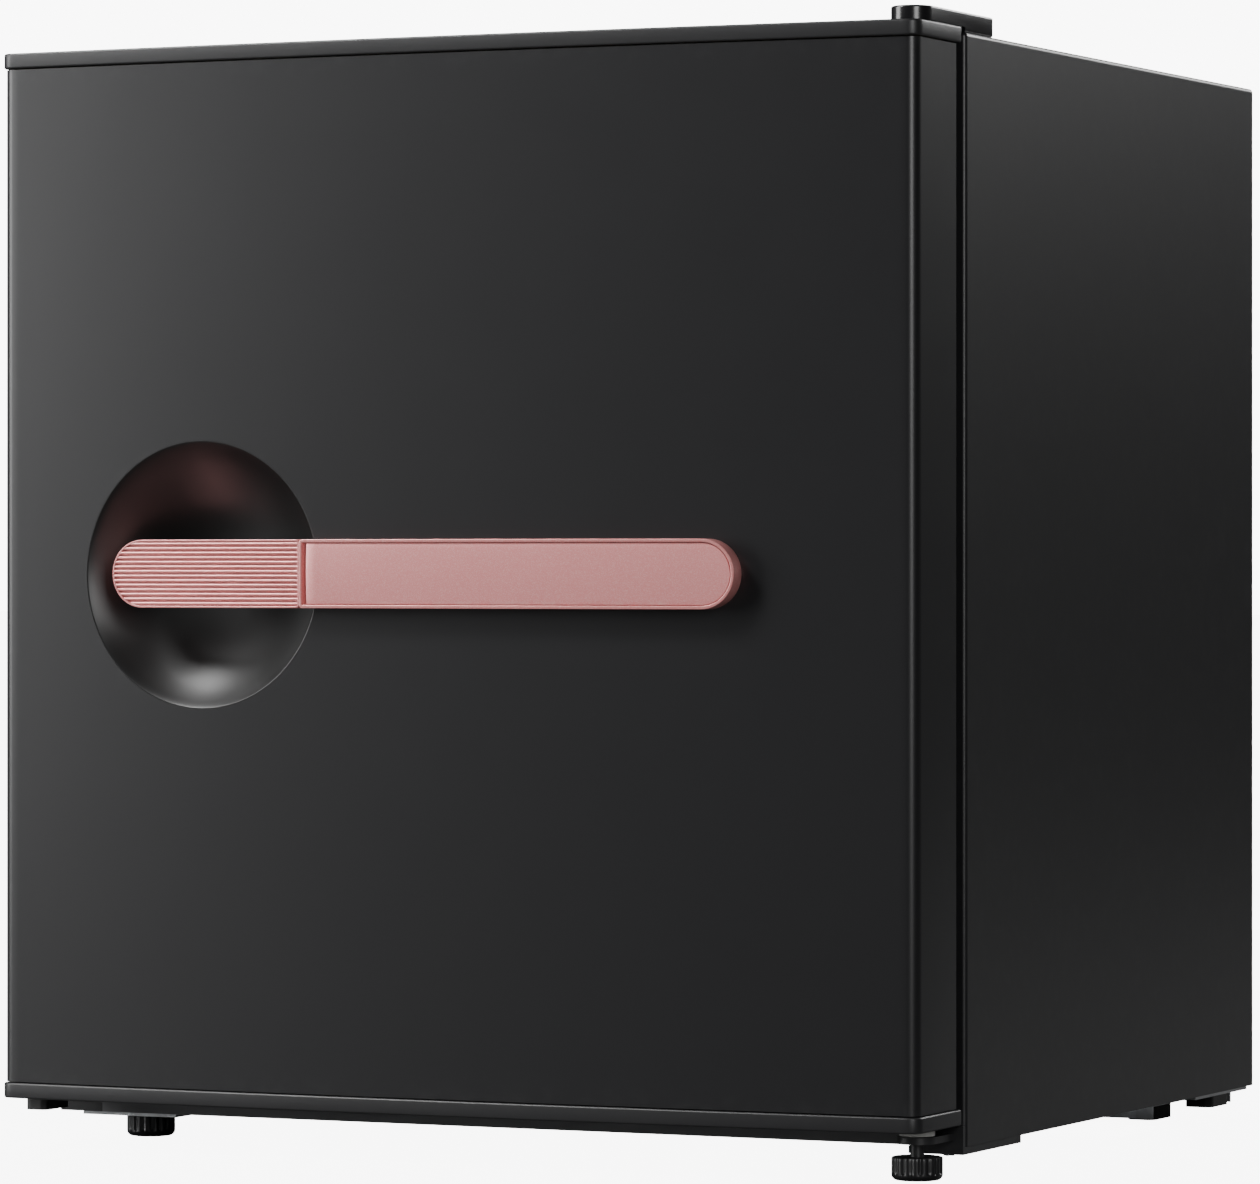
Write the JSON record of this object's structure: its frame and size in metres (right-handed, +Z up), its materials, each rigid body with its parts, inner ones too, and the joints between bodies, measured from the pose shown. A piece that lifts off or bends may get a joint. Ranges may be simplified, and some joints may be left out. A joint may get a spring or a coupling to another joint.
{
  "type": "mini fridge",
  "caption": "Compact cube refrigerator with a bowed door, round finger recess, bar handle, small chiller box, wire shelf, door racks and rear wire condenser.",
  "frame": {"origin": "middle of the bounding box's footprint, on the floor", "axes": "+X to the right as seen from the front, +Y from the door to the back, +Z up"},
  "size_m": [0.445, 0.471, 0.4959],
  "materials": {
    "cabinet_paint": "satin",
    "sill_paint": "satin",
    "galvanised_steel": "satin",
    "liner_plastic": "satin",
    "foam": "matte",
    "plug_plastic": "satin",
    "evaporator_aluminium": "satin",
    "fitting_plastic": "satin",
    "flap_plastic": "satin",
    "shelf_wire": "gloss",
    "knob_plastic": "satin",
    "compressor_paint": "gloss",
    "rubber_black": "matte",
    "zinc_steel": "satin",
    "relay_plastic": "matte",
    "tray_plastic": "satin",
    "drain_plastic": "satin",
    "gland_plastic": "matte",
    "coil_paint": "satin",
    "copper": "satin",
    "hinge_steel": "satin",
    "cover_gloss": "gloss",
    "foot_plastic": "satin",
    "door_paint": "satin",
    "cap_plastic": "satin",
    "recess_plastic": "satin",
    "gasket_vinyl": "satin",
    "bin_plastic": "satin",
    "rose_metallic": "satin",
    "rose_inlay": "satin",
    "bush_plastic": "matte"
  },
  "bodies": {
    "cabinet": {"back_panel": "galvanised_steel", "base_panel": "galvanised_steel", "base_plate": "galvanised_steel", "cabinet_foam": "foam", "capillary_pipe": "copper", "chiller_box": "evaporator_aluminium", "chiller_clips": "fitting_plastic", "compressor": "compressor_paint", "compressor_bolts": "zinc_steel", "compressor_grommets": "rubber_black", "condenser_brackets": "gland_plastic", "condenser_coil": "coil_paint", "condenser_wires": "coil_paint", "cord_gland": "gland_plastic", "discharge_pipe": "copper", "drain_tube": "drain_plastic", "evaporation_tray": "tray_plastic", "filter_drier": "copper", "front_sill": "sill_paint", "hinge_cover": "cover_gloss", "hinge_hole_plugs": "plug_plastic", "inner_liner": "liner_plastic", "left_foot_bracket": "galvanised_steel", "lower_hinge_bracket": "hinge_steel", "lower_hinge_pin": "zinc_steel", "lower_hinge_screws": "zinc_steel", "outer_shell": "cabinet_paint", "rear_pads": "rubber_black", "relay_cover": "relay_plastic", "return_pipe": "copper", "suction_pipe": "copper", "thermostat_housing": "fitting_plastic", "top_hinge_pin": "zinc_steel", "top_hinge_plate": "hinge_steel", "top_hinge_screws": "zinc_steel", "wall_spacers": "gland_plastic"},
    "door": {"door_panel": "door_paint", "door_top_cap": "cap_plastic", "door_bottom_cap": "cap_plastic", "finger_recess": "recess_plastic", "door_foam": "foam", "door_liner": "liner_plastic", "door_gasket": "gasket_vinyl", "upper_door_bin": "bin_plastic", "lower_door_bin": "bin_plastic", "handle_bar": "rose_metallic", "handle_grip": "rose_metallic", "handle_inlay": "rose_inlay", "handle_screws": "zinc_steel", "hinge_bushes": "bush_plastic", "door_plug": "plug_plastic"},
    "chiller_flap": {"chiller_flap": "flap_plastic"},
    "drip_tray": {"drip_tray": "fitting_plastic"},
    "shelf": {"wire_shelf": "shelf_wire"},
    "thermostat_knob": {"thermostat_knob": "knob_plastic"},
    "left_foot": {"left_foot_stem": "hinge_steel"},
    "left_knob": {"left_foot_knob": "foot_plastic"},
    "right_foot": {"right_foot_stem": "hinge_steel"},
    "right_knob": {"right_foot_knob": "foot_plastic"}
  },
  "joints": [
    {"name": "door_swing", "type": "hinge", "parent": "cabinet", "child": "door", "pos_m": [0.2095, -0.1929, 0.255], "axis": [0, 0, 1], "range_deg": [0, 120]},
    {"name": "chiller_flap_swing", "type": "hinge", "parent": "cabinet", "child": "chiller_flap", "pos_m": [0, -0.046, 0.436], "axis": [-1, 0, 0], "range_deg": [0, 80]},
    {"name": "drip_tray_slide", "type": "slide", "parent": "cabinet", "child": "drip_tray", "axis": [0, -1, 0], "range_m": [0, 0.09]},
    {"name": "shelf_slide", "type": "slide", "parent": "cabinet", "child": "shelf", "axis": [0, -1, 0], "range_m": [0, 0.02]},
    {"name": "thermostat_turn", "type": "hinge", "parent": "cabinet", "child": "thermostat_knob", "pos_m": [0.15, -0.004, 0.312], "axis": [-1, 0, 0], "range_deg": [0, 270]},
    {"name": "left_foot_travel", "type": "slide", "parent": "cabinet", "child": "left_foot", "axis": [0, 0, 1], "range_m": [-0.006, 0]},
    {"name": "left_foot_spin", "type": "hinge", "parent": "left_foot", "child": "left_knob", "pos_m": [-0.19, -0.1429, 0], "axis": [0, 0, 1], "range_deg": [-2160.5, 0.5]},
    {"name": "right_foot_travel", "type": "slide", "parent": "cabinet", "child": "right_foot", "axis": [0, 0, 1], "range_m": [-0.003, 0.004]},
    {"name": "right_foot_spin", "type": "hinge", "parent": "right_foot", "child": "right_knob", "pos_m": [0.2095, -0.1929, 0], "axis": [0, 0, 1], "range_deg": [-1080.5, 1440.5]}
  ],
  "couplings": [
    {"joint": "left_foot_spin", "follows": "left_foot_travel", "rad_per_m": 6283.2},
    {"joint": "right_foot_spin", "follows": "right_foot_travel", "rad_per_m": 6283.2}
  ]
}
